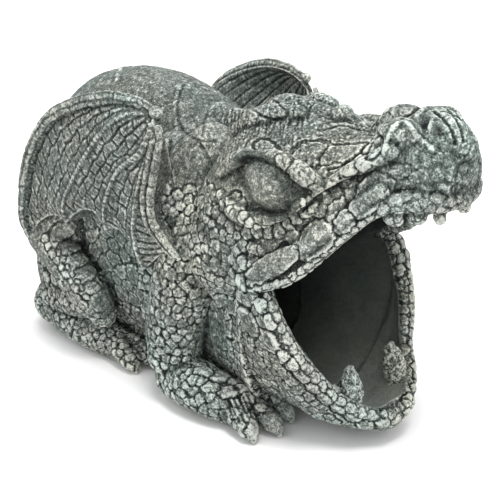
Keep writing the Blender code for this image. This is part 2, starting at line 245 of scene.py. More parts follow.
def closed_piece(name, fill):
    """An object whose mesh holds the closed shells that fill makes, all facing out."""
    clay = bmesh.new()
    fill(clay)
    bmesh.ops.recalc_face_normals(clay, faces=clay.faces)
    mesh = bpy.data.meshes.new(name)
    clay.to_mesh(mesh)
    clay.free()
    made = bpy.data.objects.new(name, mesh)
    bpy.context.scene.collection.objects.link(made)
    return made


def settle(piece):
    """Replaces the piece's mesh with the one its modifiers make."""
    graph = bpy.context.evaluated_depsgraph_get()
    worked = bpy.data.meshes.new_from_object(piece.evaluated_get(graph))
    piece.modifiers.clear()
    piece.data = worked


def work_into_skin(piece, grain, softened=2):
    """Works overlapping forms into one even skin of the given grain, and softens its steps."""
    remesh = piece.modifiers.new("one_skin", "REMESH")
    remesh.mode = "VOXEL"
    remesh.voxel_size = grain
    soften = piece.modifiers.new("soften", "SMOOTH")
    soften.factor = 0.5
    soften.iterations = softened
    settle(piece)


def cut_away(piece, fills):
    """Cuts closed helpers out of the piece, each made by its own fill."""
    helpers = [closed_piece("helper", fill) for fill in fills]
    for helper in helpers:
        step = piece.modifiers.new("cut", "BOOLEAN")
        step.object = helper
        step.operation = "DIFFERENCE"
        step.solver = "MANIFOLD"
    settle(piece)
    for helper in helpers:
        bpy.data.objects.remove(helper)


# The body and the legs

def trunk(clay):
    """The crouching body and the neck, from the rump to the base of the skull."""
    hull(clay, [
        (240, 104, 64, 78, 110, 2.2, 5),
        (222, 112, 75, 108, 122, 2.2, 5),
        (190, 120, 80, 131, 128, 2.2, 4),
        (150, 124, 82, 138, 130, 2.3, 2.6),
        (105, 124, 79, 140, 130, 2.2, 2.2),
        (65, 124, 76, 131, 130, 2.2, 2.2),
        (30, 122, 72, 116, 130, 2.5, 2.3),
        (0, 120, 71, 110, 124, 2.5),
        (-30, 120, 70, 106, 116),
    ])


def collar(clay):
    """The blocks of stone that wall the pocket and the throat where the body is thin."""
    for narrower, start in ((0, BACK - POCKET_DEPTH - COLLAR_WALL), (SEAT_STEP, THROAT_END)):
        half_width = POCKET_HALF_WIDTH - narrower + COLLAR_WALL
        top = POCKET_TOP - narrower + COLLAR_WALL
        box(clay, (-half_width, start, 0), (half_width, BACK, top), PASSAGE_CORNER)


def shoulder(clay, side):
    """The breast and the side of the neck behind the cheek."""
    ball(clay, side, (62, 6, 120), (30, 32, 60))
    limb(clay, side, [(60, 18, 140, 26), (57, 20, 172, 27), (50, 16, 200, 26), (38, 4, 220, 22)])
    limb(clay, side, [(50, 44, 140, 27), (48, 48, 178, 26), (40, 44, 206, 24)])


def foreleg(clay, side):
    """Upper leg, forearm and paw."""
    limb(clay, side, [(62, -4, 150, 26), (72, 2, 118, 29), (77, 10, 78, 27), (79, 13, 44, 24)])
    limb(clay, side, [(79, 8, 24, 22), (81, -14, 24, 22), (78, -38, 21, 20), (70, -58, 17, 18)])
    for toe in ((86, -88, 78, -48), (64, -97, 68, -54), (42, -90, 57, -52)):
        claw_toe(clay, side, *toe)


def hind_leg(clay, side):
    """Haunch, knee and foot."""
    ball(clay, side, (62, 178, 68), (32, 46, 60), tilt=-12)
    ball(clay, side, (78, 168, 118), (25, 36, 28), tilt=-30)
    limb(clay, side, [
        (80, 200, 108, 17), (88, 180, 110, 20), (92, 152, 100, 20), (91, 130, 82, 20), (87, 116, 64, 18),
        (82, 110, 50, 13),
    ])
    limb(clay, side, [(82, 124, 56, 13), (80, 150, 50, 17), (74, 186, 46, 21)])
    limb(clay, side, [(68, 202, 28, 25), (73, 165, 22, 21), (73, 128, 19, 19), (70, 102, 14, 15)])
    for toe in ((80, 68, 76, 108), (62, 60, 66, 104), (45, 64, 54, 104)):
        claw_toe(clay, side, *toe)


def claw_toe(clay, side, tip_across, tip_along, root_across, root_along):
    """A knuckled toe that ends in a claw, from its root to its tip on the ground."""
    def between(share, up, radius):
        across = root_across + (tip_across - root_across) * share
        along = root_along + (tip_along - root_along) * share
        return across, along, up, radius
    limb(clay, side, [between(0, 16, 10), between(0.4, 17, 10), between(0.7, 12, 9), between(0.78, 10, 7)])
    limb(clay, side, [between(0.66, 14, 9), between(0.84, 11, 8.8), between(0.94, 7.5, 6.6), between(0.99, 4.5, 3.6)])


def body_forms(clay):
    trunk(clay)
    collar(clay)
    for side in BOTH_SIDES:
        foreleg(clay, side)
        shoulder(clay, side)
        hind_leg(clay, side)


FAR = 600                        # beyond the figure on every side


def below_ground(clay):
    box(clay, (-FAR, -FAR, -FAR), (FAR, FAR, 0))


def behind_back(clay):
    box(clay, (-FAR, BACK, -FAR), (FAR, BACK + FAR, FAR))


def passage_hollows():
    """The pocket, the throat and the end of the mouth's hollow."""
    throat_half_width = POCKET_HALF_WIDTH - SEAT_STEP
    return [
        lambda clay: box(
            clay, (-POCKET_HALF_WIDTH, BACK - POCKET_DEPTH, POCKET_FLOOR),
            (POCKET_HALF_WIDTH, BACK + FAR, POCKET_TOP), PASSAGE_CORNER,
        ),
        lambda clay: box(
            clay, (-throat_half_width, THROAT_END - 30, POCKET_FLOOR + SEAT_STEP),
            (throat_half_width, BACK, POCKET_TOP - SEAT_STEP), PASSAGE_CORNER,
        ),
        lambda clay: bowl(clay, grow=2.0),
        lambda clay: palate(clay, grow=2.0),
    ]


# The head

def skull(clay):
    """The head down to the upper lip, from the nape to the snout."""
    hull(clay, [
        (-4, 160, 72, 66, 66, 1.9),
        (-22, 162, 84, 86, 78, 1.9),
        (-45, 164, 92, 98, 78, 1.8),
        (-80, 168, 90, 94, 44, 1.8, 4),
        (-105, 176, 81, 82, 24, 1.8, 4),
        (-125, 188, 71, 68, 20, 1.8, 4),
        (-150, 212, 59, 48, 16, 2, 4),
        (-176, 232, 43, 38, 16, 2.2, 3.5),
        (-196, 238, 33, 29, 22, 2.2),
        (-209, 234, 21, 18, 20, 2.2),
    ])


def lower_jaw(clay):
    """The scoop of the lower jaw: its upper edge is the rim of the mouth, its keel rests on the ground."""
    hull(clay, [
        (-20, 100, 70, 40, 90),
        (-54, 110, 75, 32, 110, 2.2, 2.1),
        (-71, 118, 84, 20, 118, 2.2, 2),
        (-92, 130, 90, 8, 127, 2.2, 1.9),
        (-105, 108, 87, 6, 106, 2.2, 1.8),
        (-118, 85, 80, 6, 83, 2.2, 1.8),
        (-131, 56, 63, 5, 53, 2.2, 1.8),
        (-144, 41, 50, 5, 36, 2.2, 1.8),
        (-155, 33, 38, 5, 24, 2.2, 1.9),
        (-164, 27, 24, 5, 17, 2.2, 2),
        (-168, 22, 9, 4, 8, 2.2, 2),
    ])


UPPER_LIP = [
    (86, -68, 150, 6), (87, -88, 143, 6), (81, -106, 150, 6), (75, -120, 160, 6), (67, -136, 177, 6),
    (59, -152, 196, 6), (50, -170, 214, 6), (40, -186, 220, 7), (24, -200, 220, 8), (0, -206, 219, 8),
]
LOWER_LIP = [
    (84, -84, 140, 6), (83, -97, 129, 8), (81, -107, 112, 8), (75, -117, 90, 8), (65, -125, 72, 8),
    (53, -134, 55, 7), (42, -146, 42, 7), (29, -156, 33, 7), (15, -163, 26, 7), (0, -165, 24, 7),
]


def lips(clay, side):
    """The rolled edges of the mouth, upper and lower, which meet at the corner."""
    limb(clay, side, UPPER_LIP)
    limb(clay, side, LOWER_LIP)


def face(clay, side):
    """Brow, cheek, lip and snout forms of one side."""
    limb(clay, side, [
        (84, -70, 160, 9), (84, -90, 157, 9), (79, -108, 166, 8.5), (72, -122, 177, 8), (64, -138, 193, 8),
        (56, -154, 209, 7.5), (47, -170, 225, 7),
    ])
    limb(clay, side, [
        (66, -28, 206, 4), (71, -40, 217, 5), (73, -52, 228, 6), (74, -66, 236, 6), (74, -82, 238, 6),
        (72, -100, 240, 7), (69, -118, 233, 7), (63, -131, 224, 5),
    ])
    limb(clay, side, [
        (80, -48, 204, 4), (85, -66, 196, 6), (85, -88, 195, 6), (81, -108, 204, 6), (72, -121, 213, 3.5),
    ])
    limb(clay, side, [
        (62, -122, 216, 5), (56, -142, 232, 5), (48, -158, 244, 6), (40, -172, 254, 6),
    ])
    ball(clay, side, (76, -40, 152), (18, 32, 34), tilt=20)
    ball(clay, side, (58, -12, 152), (26, 40, 46))
    ball(clay, side, (78, -80, 126), (12, 15, 18))
    ball(clay, side, (24, -168, 260), (16, 18, 14), tilt=-10)
    limb(clay, side, [(40, -176, 216, 8), (40, -178, 209, 8)])
    limb(clay, side, [(30, -190, 216, 8), (30, -191, 210, 7)])
    ball(clay, side, (16, -200, 208), (5, 5, 7))
    limb(clay, side, [(34, -22, 240, 7), (30, -46, 254, 10), (20, -72, 259, 7)])


def crown(clay):
    """The mid line of the head, from the nape over the forehead to the nose."""
    limb(clay, 1, [
        (0, 34, 234, 14), (0, 6, 232, 14), (0, -22, 240, 15), (0, -42, 252, 15), (0, -70, 252, 14),
        (0, -98, 246, 14), (0, -130, 243, 13), (0, -150, 262, 14), (0, -168, 261, 15), (0, -186, 263, 16),
        (0, -199, 254, 15),
    ])
    ball(clay, 1, (0, -20, 245), (16, 14, 9))
    ball(clay, 1, (0, -99, 259), (10, 9, 9))
    ball(clay, 1, (0, -118, 251), (9, 8, 7))
    ball(clay, 1, (0, -198, 236), (22, 15, 26))
    for along, up in ((-178, 264), (-190, 262), (-201, 254)):
        ball(clay, 1, (0, along, up), (22, 5, 16), tilt=-25)


def head_forms(clay):
    skull(clay)
    lower_jaw(clay)
    crown(clay)
    for side in BOTH_SIDES:
        lips(clay, side)
        face(clay, side)


# The hollows of the head

def palate(clay, grow=0.0):
    """The hollow under the upper jaw."""
    hull(clay, [
        (-50, 140, 60, 34, 50),
        (-80, 150, 64, 40, 44),
        (-105, 158, 61, 40, 40),
        (-122, 168, 55, 38, 40),
        (-146, 190, 48, 28, 40),
        (-166, 208, 37, 18, 34),
        (-180, 214, 27, 12, 26),
        (-188, 214, 16, 6, 20),
    ], grow)


def bowl(clay, grow=0.0):
    """The hollow of the lower jaw, from the throat to the rim, open above."""
    hull(clay, [
        (20, 58, 44, 30, 30),
        (-10, 62, 46, 36, 36),
        (-40, 82, 57, 52, 58),
        (-70, 110, 66, 54, 86),
        (-95, 130, 71, 34, 106, 2.2, 2.1),
        (-108, 112, 69, 44, 88, 2.2, 2),
        (-118, 92, 63, 60, 68, 2.2, 2),
        (-131, 65, 49, 80, 42, 2.2, 2),
        (-144, 50, 37, 80, 25, 2.2, 2),
        (-154, 41, 27, 80, 13, 2.2, 2),
        (-160, 37, 16, 70, 6, 2.2, 2),
    ], grow)


SOCKET = ((85, -92, 222), (18, 29.5, 18.5), 18)  # centre, half sizes and tilt
EYEBALL = ((67, -94, 219), (19.5, 29, 22), 18)
# share of the eye's size from which painted shade darkens the eyeball towards its rim
EYE_PAINTED_SHADE_START = 0.5


def eye_sockets(clay):
    """The hollows around the eyes, under the brow."""
    for side in BOTH_SIDES:
        ball(clay, side, *SOCKET)


def eye(clay, side):
    """The big plain eyeball."""
    ball(clay, side, *EYEBALL, subdivisions=6)


def teeth(clay, side):
    """The one big lower tooth of each side, with a lump of gum behind it."""
    limb(clay, side, [(32, -142, 35, 9.5), (30, -141, 45, 10), (28.5, -139, 55, 8.5), (27, -137, 64, 4.5)])
    ball(clay, side, (41, -136, 42), (9, 9, 8))
    ball(clay, side, (39, -133, 50), (5, 5, 5))
    ball(clay, side, (36, -146, 42), (5, 5, 6))


# Scales: each is an oval with its own axes, carved into the skin that carries it

OUTLINE_WANDER = 1.5             # how far the outlines of scales stray
OUTLINE_SIZE = 3.6
WEAR = 1.5                       # how much the grooves differ in depth
WEAR_SIZE = 17.0
DOME = 0.30                      # how much of a scale's rise is at its middle
BIG_SCALE = 6.5                  # scales over this half size
BIG_GROOVE = 1.3                 # lie in grooves at least this deep


def skin_arrays(piece):
    """The places and the normals of the piece's points."""
    count = len(piece.data.vertices)
    places = np.empty(count * 3, np.float32)
    piece.data.vertices.foreach_get("co", places)
    normals = np.empty(count * 3, np.float32)
    piece.data.vertex_normals.foreach_get("vector", normals)
    return places.reshape(-1, 3).astype(float), normals.reshape(-1, 3).astype(float)


def surface_of(piece):
    return BVHTree.FromObject(piece, bpy.context.evaluated_depsgraph_get())


def seen(surface, x, y):
    """Where the line of sight through a pixel of the photograph meets the surface, and its normal there."""
    sight = CAMERA_RIGHT * (x - PICTURE / 2) + CAMERA_UP * (PICTURE / 2 - y) - CAMERA_BACK * FOCAL_PIXELS
    place, normal, _, _ = surface.ray_cast(CAMERA_PLACE, sight.normalized())
    return place, normal


def pixels_of(places):
    """Where the photograph shows these places, or their mirror images on its near side."""
    near = places * np.array([1, 1, 1.0])
    near[:, 0] = -np.abs(near[:, 0])
    away = near - np.array(CAMERA_PLACE)
    depth = -away @ np.array(CAMERA_BACK)
    x = PICTURE / 2 + FOCAL_PIXELS * (away @ np.array(CAMERA_RIGHT)) / depth
    y = PICTURE / 2 - FOCAL_PIXELS * (away @ np.array(CAMERA_UP)) / depth
    return x, y


def outside_spots(places, spots):
    """0 within the spots of the photograph, each (x, y, half width, half height), and 1 well outside them."""
    x, y = pixels_of(places)
    clear = np.ones(len(places))
    for spot_x, spot_y, half_width, half_height in spots:
        reached = np.sqrt(((x - spot_x) / half_width) ** 2 + ((y - spot_y) / half_height) ** 2)
        clear = np.minimum(clear, np.clip((reached - 0.65) / 0.45, 0, 1))
    return clear


def scale_at(place, normal, heading, length, width, height, bevel, shingle=0.0):
    """One scale: its centre, its three axes, its half sizes, its rise, its rounded edge and its slope."""
    up = Vector(normal).normalized()
    ahead = Vector(heading)
    ahead = ahead - up * up.dot(ahead)
    if ahead.length < 1e-6:
        ahead = up.orthogonal()
    ahead.normalize()
    across = up.cross(ahead)
    return (*place, *ahead, *across, *up, length / 2, width / 2, height, bevel, shingle)


def both_sides(place, normal, heading, *sizes, **more):
    """The scale and its mirror image on the other side."""
    mirror = Vector((-1, 1, 1))
    return [
        scale_at(place, normal, heading, *sizes, **more),
        scale_at(mirror * place, mirror * normal, mirror * heading, *sizes, **more),
    ]


def row_of_scales(surface, pixels, count, length, width, height=1.2, bevel=3.0, turned=False, shingle=0.0):
    """Scales side by side on the line that the photograph shows through these pixels, on both sides."""
    spots = [seen(surface, x, y) for x, y in even_route(pixels, count)]
    spots = [spot for spot in spots if spot[0] is not None]
    scales = []
    for i, (place, normal) in enumerate(spots):
        heading = spots[min(i + 1, len(spots) - 1)][0] - spots[max(i - 1, 0)][0]
        if turned:
            heading = heading.cross(normal)
        size = 0.86 + 0.30 * chance.random()
        scales += both_sides(place, normal, heading, length * size, width * size, height, bevel, shingle=shingle)
    return scales


def plate(surface, x, y, toward_x, toward_y, length, width, height=1.4, bevel=3.5, shingle=0.0):
    """One plate at a pixel of the photograph, its length pointing at another pixel, on both sides."""
    place, normal = seen(surface, x, y)
    ahead, _ = seen(surface, toward_x, toward_y)
    return both_sides(place, normal, ahead - place, length, width, height, bevel, shingle=shingle)


def skin_tree(places):
    """The skin's points, ready to be looked up by place."""
    tree = KDTree(len(places))
    for i, place in enumerate(places):
        tree.insert(place, i)
    tree.balance()
    return tree


def wandered(places, amount, size):
    """The places moved a little at random, which gives what is drawn on them uneven outlines."""
    return places + amount * np.array([noise.noise_vector(Vector(place / size)) for place in places])


def carve(piece, scales, groove, mask=None):
    """Carves the scales into the skin: their rounded edges meet in grooves, some deep and some worn."""
    places, normals = skin_arrays(piece)
    drawn = wandered(places, OUTLINE_WANDER, OUTLINE_SIZE)
    worn = np.array([noise.noise(Vector(place / WEAR_SIZE)) for place in places])
    groove = groove * np.clip(1 + WEAR * worn, 0.25, 1.7)
    nearest = np.full(len(places), 9.0)
    second = np.full(len(places), 9.0)
    rise = np.zeros(len(places))
    size = np.ones(len(places))
    edge = np.ones(len(places))
    tree = skin_tree(places)
    for scale in scales:
        centre = np.array(scale[0:3])
        axes = np.array(scale[3:12]).reshape(3, 3)
        half_length, half_width, height, bevel, shingle = scale[12:17]
        reach = 1.5 * max(half_length, half_width)
        found = np.array([i for _, i, _ in tree.find_range(centre, reach)], int)
        if not len(found):
            continue
        found = found[normals[found] @ axes[2] > 0.1]
        local = (drawn[found] - centre) @ axes.T
        reached = np.sqrt((local[:, 0] / half_length) ** 2 + (local[:, 1] / half_width) ** 2
                          + (local[:, 2] / (2 * half_width)) ** 2)
        closer = reached < nearest[found]
        second[found] = np.where(closer, nearest[found], np.minimum(second[found], reached))
        mine = found[closer]
        nearest[mine] = reached[closer]
        rise[mine] = height * (1 + shingle * local[closer, 0] / half_length)
        size[mine] = (half_length + half_width) / 2
        edge[mine] = bevel
    groove = np.where(size > BIG_SCALE, np.maximum(groove, BIG_GROOVE), groove)
    inward = np.minimum(1 - nearest, (second - nearest) * 0.5) * size
    share = np.clip(inward / edge, 0, 1)
    rounded = np.sqrt(np.clip(1 - (1 - share) ** 2, 0, 1)) * (1 - DOME + DOME * np.clip(1.2 - nearest, 0, 1))
    covered = nearest < 1.35
    lift = np.where(covered, (groove + rise) * rounded - groove, -0.35 * groove)
    if mask is not None:
        lift = lift * mask
    places += normals * lift[:, None]
    piece.data.vertices.foreach_set("co", places.ravel())
    piece.data.update()


def pebbles(piece, scales, where, spacing, height=0.5, stretch=1.0, heading=(0, 0, 1), bevel=None, reach=0.72):
    """Fills a region of the skin with round scales, spaced apart at random, around the scales already there."""
    places, normals = skin_arrays(piece)
    candidates = np.flatnonzero(where(places, normals))
    chance.shuffle(candidates)
    taken = [(np.array(s[0:3]), np.array(s[3:12]).reshape(3, 3), s[12], s[13]) for s in scales]
    free = np.ones(len(places), bool)
    for centre, axes, half_length, half_width in taken:
        room = 0.42 * spacing
        near = candidates[np.linalg.norm(places[candidates] - centre, axis=1) < max(half_length, half_width) + room]
        local = (places[near] - centre) @ axes.T
        inside = (local[:, 0] / (half_length + room)) ** 2 + (local[:, 1] / (half_width + room)) ** 2 < 1
        free[near[inside]] = False
    grid = {}
    made = []
    for i in candidates:
        if not free[i]:
            continue
        spot = places[i]
        key = tuple((spot // spacing).astype(int))
        crowded = False
        for dx in (-1, 0, 1):
            for dy in (-1, 0, 1):
                for dz in (-1, 0, 1):
                    for other in grid.get((key[0] + dx, key[1] + dy, key[2] + dz), ()):
                        if ((other - spot) ** 2).sum() < spacing * spacing:
                            crowded = True
        if crowded:
            continue
        grid.setdefault(key, []).append(spot)
        swell = 0.80 + 0.40 * chance.random()
        drawn_out = stretch * (0.88 + 0.26 * chance.random())
        length = 2 * reach * spacing * swell * drawn_out
        width = 2 * reach * spacing * swell / drawn_out
        lift = height * (0.3 + 1.4 * chance.random())
        lean = Vector(heading) + 0.5 * Vector(chance.normal(0, 1, 3))
        made.append(scale_at(spot, normals[i], lean, length, width, lift, bevel or 0.22 * spacing))
    return scales + made


def line_on(surface, pixels):
    """Places on the surface under a line through pixels of the photograph, and their mirror images."""
    run = sum(((Vector(b) - Vector(a)).length for a, b in zip(pixels, pixels[1:])), 0.0)
    spots = [seen(surface, x, y)[0] for x, y in even_route(pixels, max(4, int(run)))]
    spots = [spot for spot in spots if spot is not None]
    return spots + [Vector((-spot.x, spot.y, spot.z)) for spot in spots]


def strokes(surface, first, last, count, astray=1.0):
    """Fine lines side by side, each from one row of pixels to the other."""
    lines = []
    for start, end in zip(even_route(first, count), even_route(last, count)):
        start = start + chance.normal(0, astray, 2)
        end = end + chance.normal(0, astray, 2)
        lines.append(line_on(surface, [start, (start + end) / 2, end]))
    return lines


def engrave(piece, lines, width, depth):
    """Presses a groove into the skin along each line; a negative depth raises a ridge instead."""
    places, normals = skin_arrays(piece)
    tree = skin_tree(places)
    nearest = np.full(len(places), float(width))
    for line in lines:
        for spot in line:
            for _, i, away in tree.find_range(spot, width):
                nearest[i] = min(nearest[i], away)
    share = 1 - nearest / width
    places -= normals * (depth * share * share * (3 - 2 * share))[:, None]
    piece.data.vertices.foreach_set("co", places.ravel())
    piece.data.update()


def roughen(piece, amount, size, mask=None, depth=3):
    """The small unevenness of the cast surface."""
    places, normals = skin_arrays(piece)
    if mask is None:
        mask = np.ones(len(places))
    for i in np.flatnonzero(mask > 0.01):
        places[i] += normals[i] * amount * mask[i] * noise.fractal(Vector(places[i] / size), 0.7, 2.1, depth)
    piece.data.vertices.foreach_set("co", places.ravel())
    piece.data.update()


def neighbour_mean(values, ends, count):
    """For each point of the skin, the mean of the values at its neighbours."""
    total = np.zeros_like(values)
    for one, other in ((0, 1), (1, 0)):
        for axis in range(values.shape[1]):
            total[:, axis] += np.bincount(ends[:, one], weights=values[ends[:, other], axis], minlength=len(values))
    return total / np.maximum(count, 1)[:, None]


def stands_over(places, normals, ends, count, steps):
    """How far each point stands over the smoothed skin around it, in millimetres."""
    spread = places.copy()
    for _ in range(steps):
        spread = 0.35 * spread + 0.65 * neighbour_mean(spread, ends, count)
    return ((places - spread) * normals).sum(axis=1)


def on_walls(places, fills):
    """Which of the places lie on the walls of the hollows that these fills make."""
    found = np.zeros(len(places), bool)
    for fill in fills:
        helper = closed_piece("helper", fill)
        wall = surface_of(helper)
        found |= np.array([wall.find_nearest(place, ON_HOLLOW)[0] is not None for place in places])
        bpy.data.objects.remove(helper)
    return found


def painted_mouth_shade(places):
    """Painted shade on the stone of the mouth, darker towards the throat and the palate."""
    height = np.clip(places[:, 2] - 40, 0, 160)
    return np.clip(np.interp(places[:, 1], HOLLOW_DEPTHS, HOLLOW_PAINTED_SHADES) - HOLLOW_PAINTED_SHADE_BY_HEIGHT * height, 0.05, 1)


def around_eyes(places, centre, radii, tilt):
    """How far each place lies from the middle of the eye, with 1 on its surface."""
    turn = np.array(Matrix.Rotation(radians(-tilt), 3, "X"))
    away = (np.abs(places * np.array([1, 0, 0])) + places * np.array([0, 1, 1])) - np.array(centre)
    return np.sqrt((((away @ turn.T) / np.array(radii)) ** 2).sum(axis=1))


def mark_crests(piece, grain, hollows):
    """Stores how far each point stands over its surroundings: 0 deep in a groove, 0.5 level, 1 on an edge; the dark
    low end is partly painted shade.

    It also stores how much of the dry brush each point has caught: none inside the mouth, whose walls get painted
    shade, as do the eye sockets and the rims of the eyeballs.
    """
    places, normals = skin_arrays(piece)
    ends = np.empty(len(piece.data.edges) * 2, np.int32)
    piece.data.edges.foreach_get("vertices", ends)
    ends = ends.reshape(-1, 2)
    count = np.bincount(ends.ravel(), minlength=len(places))
    spans = np.linalg.norm(places[ends[:, 0]] - places[ends[:, 1]], axis=1)
    longest = np.zeros(len(places))
    for end in (0, 1):
        np.maximum.at(longest, ends[:, end], spans)
    edge = np.clip(stands_over(places, normals, ends, count, 2) / (EDGE_STAND * grain), -1, 1)
    form = np.clip(stands_over(places, normals, ends, count, 9) / (FORM_STAND * grain), -1, 1)
    # the crest tone: lighter on edges as dry brush, darker in grooves and broad hollows as the unbrushed stone and
    # partly as painted shade
    crest = np.clip(0.5 + 0.27 * edge + 0.30 * form, 0, 1)
    crest[longest > 3 * grain] = 0.45
    brushed = np.ones(len(places))
    socket = around_eyes(places, *SOCKET)
    if hollows:
        # painted shade in the eye sockets: no light edges near the eye, and dark in the groove around the eyeball
        crest = np.where(socket < 1.20, np.minimum(crest, 0.52), crest)
        crest = np.where(socket < 1.04, np.minimum(crest, 0.24), crest)
        # painted shade on the walls of the mouth and the passage, darker towards the throat and upwards; the dry
        # brush is nearly left off there
        hidden = on_walls(places, hollows)
        crest[hidden] = painted_mouth_shade(places[hidden])
        brushed[hidden] = 0.16
    if piece.name == "eyes":
        # painted shade on the eyeball, darker towards the rim where it meets the lids
        rim = np.clip((socket - EYE_PAINTED_SHADE_START) / (1 - EYE_PAINTED_SHADE_START), 0, 1)
        crest = 0.57 - 0.25 * rim
    if piece.name == "lower_teeth":
        crest = crest + 0.12
    for name, values in (("crest", crest), ("brushed", brushed)):
        held = piece.data.attributes.new(name, "FLOAT", "POINT")
        held.data.foreach_set("value", values.astype(np.float32))


# The wings

WRIST = (89, 15, 257)
LEADING_EDGE = [
    WRIST, (92, 35, 263), (97, 66, 262), (103, 102, 252), (106, 136, 235), (107, 163, 207), (107, 179, 179),
    (107, 189, 149), (107, 193, 128), (106, 186, 112),
]
FRONT_ROPE = [WRIST, (93, 12, 250), (95, 8, 237), (97, 13, 212), (97, 19, 190), (97, 17, 170), (96, 3, 155),
              (93, -9, 143)]
WING_FINGERS = [
    LEADING_EDGE,
    [WRIST, (103, 38, 254), (108, 62, 237), (109, 87, 211), (109, 108, 185), (109, 124, 160), (107, 124, 142)],
    [WRIST, (98, 14, 245), (103, 24, 226), (105, 46, 209), (105, 60, 190), (105, 70, 169), (103, 72, 148)],
    [WRIST, (97, 11, 240), (102, 24, 204), (103, 34, 168), (101, 36, 142), (98, 30, 122)],
    FRONT_ROPE,
]
PANEL_COLUMNS = 44               # strips of skin between two fingers
WING_ROWS = 170
LANES = (5, 4, 3, 2)             # columns of long scales in each panel
BRICK_LENGTH = 15.0
WING_WALL = 8
WING_ROOT = 34
SCALLOP = 12
GROOVE_WIDTH = 1.9
BRICK_DEPTH = 2.9
FINGER_RADIUS = 2.6
WING_INSET = 1.3                 # keeps the scales of the wing within the solid


def brick_relief(lane, lane_width, run, length, depth=1.0, wander=1.0):
    """Rounded long scales laid like bricks: lane counts columns, run is millimetres along them."""
    lane = lane + wander * (0.07 * np.sin(run / 4.3) + 0.04 * np.sin(run / 1.9 + 1.7 * lane))
    column = np.floor(lane)
    along = run + 1.1 * np.sin(4.1 * lane + run / 7)
    shifted = along / length + 0.5 * (column % 2) + 0.17 * column + 0.12 * np.sin(along / length * 2.2 + column)
    to_side = (0.5 - np.abs(lane - column - 0.5)) * lane_width
    to_end = (0.5 - np.abs(shifted - np.floor(shifted) - 0.5)) * length
    share = np.clip(np.minimum(to_side, to_end) / GROOVE_WIDTH, 0, 1)
    worn = 0.80 + 0.20 * np.sin(run / 9.0 + 2.6 * lane)
    return -depth * worn * (1 - share) ** 1.5


def wing_grid():
    """The middle of the wing's outer face as a grid: columns from the leading edge, rows down the fingers."""
    fingers = np.stack([even_route(finger, WING_ROWS + 1)[1:] for finger in WING_FINGERS])
    last = len(WING_FINGERS) - 1
    shares = np.linspace(0, 1, WING_ROWS + 1)[1:]
    columns = []
    for column in range(PANEL_COLUMNS * last + 1):
        panel = min(column // PANEL_COLUMNS, last - 1)
        t = column / PANEL_COLUMNS - panel
        four = [fingers[max(0, min(last, panel + k))] for k in (-1, 0, 1, 2)]
        points = blended(*four, t)
        points[:, 2] += SCALLOP * 4 * t * (1 - t) * shares ** 6
        points[:, 0] -= 2 * sin(pi * t) * shares
        columns.append(points)
    return np.stack(columns)


def wing_relief(grid):
    """The outer face's relief: beaded fingers and columns of long scales between them."""
    lengths = np.linalg.norm(np.diff(grid, axis=1), axis=2)
    run = np.concatenate((np.zeros((len(grid), 1)), np.cumsum(lengths, axis=1)), axis=1)
    outer = np.zeros(grid.shape[:2])
    inner = np.zeros(grid.shape[:2])
    for panel, lanes in enumerate(LANES):
        first = panel * PANEL_COLUMNS
        columns = slice(first, first + PANEL_COLUMNS + 1)
        part = grid[columns]
        width = np.linalg.norm(np.diff(part, axis=0), axis=2).sum(axis=0)
        t = np.linspace(0, 1, PANEL_COLUMNS + 1)[:, None]
        lane = t * lanes
        bricks = brick_relief(lane, width[None, :] / lanes, run[columns], BRICK_LENGTH, BRICK_DEPTH)
        if panel == len(LANES) - 1:
            keys = brick_relief(t * 1.0, width[None, :], run[columns], 7.0, BRICK_DEPTH)
            low = np.linspace(0, 1, WING_ROWS)[None, :] > 0.55
            bricks = np.where(low, keys, bricks)
        bricks = bricks * np.clip(width[None, :] / lanes / 6, 0, 1)
        outer[columns] = bricks
        inner[columns] = brick_relief(lane, width[None, :] / lanes, run[columns], 400.0, 2.4, 0.3)
        for edge, beaded in ((0.0, panel > 0), (1.0, panel < len(LANES) - 1)):
            if not beaded:
                continue
            away = np.abs(t - edge) * width[None, :]
            lumps = run[columns] / 5.2 + 0.35 * np.sin(run[columns] / 8.3) + 0.3 * panel
            bead = 0.50 + 0.50 * np.abs(np.sin(pi * lumps)) * (0.8 + 0.2 * np.sin(run[columns] / 3.1))
            rope = FINGER_RADIUS * np.sqrt(np.clip(1 - (away / FINGER_RADIUS) ** 2, 0, 1)) * bead - 0.8
            outer[columns] = np.where(away < FINGER_RADIUS, rope, outer[columns])
    return outer, inner


def wing_sheet(clay, side):
    """The folded wing as a closed sheet with its relief."""
    grid = wing_grid()
    outer, inner = wing_relief(grid)
    columns, rows = grid.shape[:2]
    sheets = []
    form = bmesh.new()
    for lift, wall, root in ((outer, 0, 0), (-inner, WING_WALL, WING_ROOT)):
        sunk = wall + (root - wall) * np.clip((240 - grid[:, :, 2]) / 60, 0, 1)
        made = bmesh.ops.create_grid(form, x_segments=rows - 1, y_segments=columns - 1, size=1)["verts"]
        for i, vert in enumerate(made):
            column, row = divmod(i, rows)
            x, y, z = grid[column, row]
            vert.co = (side * (x - sunk[column, row] + lift[column, row]), y, z)
        sheets.append(made)
    rims = [edge for edge in form.edges if edge.is_boundary]
    bmesh.ops.bridge_loops(form, edges=rims)
    press_into(clay, form)


